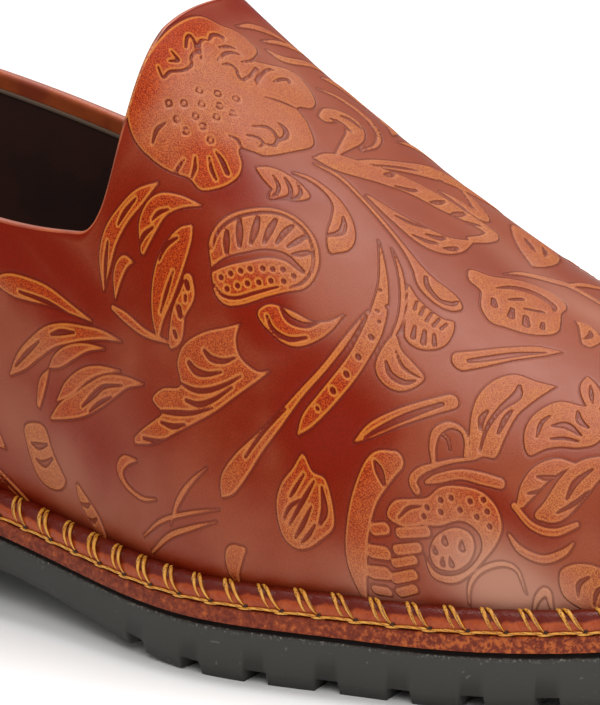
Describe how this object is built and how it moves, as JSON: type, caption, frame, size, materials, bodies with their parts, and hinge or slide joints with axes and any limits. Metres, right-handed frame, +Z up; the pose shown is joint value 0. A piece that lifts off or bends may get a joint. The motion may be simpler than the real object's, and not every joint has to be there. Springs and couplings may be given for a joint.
{
  "type": "loafer",
  "caption": "Right slip-on loafer: whole-cut leather upper with a high rounded tongue on a rolled welt bead, thin leather midsole and lugged rubber sole with a low heel.",
  "frame": {"origin": "middle of the shoe's outline on the floor", "axes": "+X to the toe, +Y to the inner side of the foot, +Z up"},
  "size_m": [0.302, 0.1092, 0.108],
  "materials": {
    "tooled_leather": "waxed brown leather with tooled leaves and flowers, satin",
    "bead_leather": "rolled brown leather, satin, sewn with yellow waxed thread",
    "lining_leather": "near black smooth lining leather",
    "midsole_leather": "orange brown leather edge with fine pores",
    "sole_rubber": "dark grey matt rubber"
  },
  "bodies": {
    "root": {"upper": "tooled_leather", "welt_bead": "bead_leather", "insole": "lining_leather", "midsole": "midsole_leather", "outsole": "sole_rubber", "heel": "sole_rubber"}
  },
  "joints": []
}
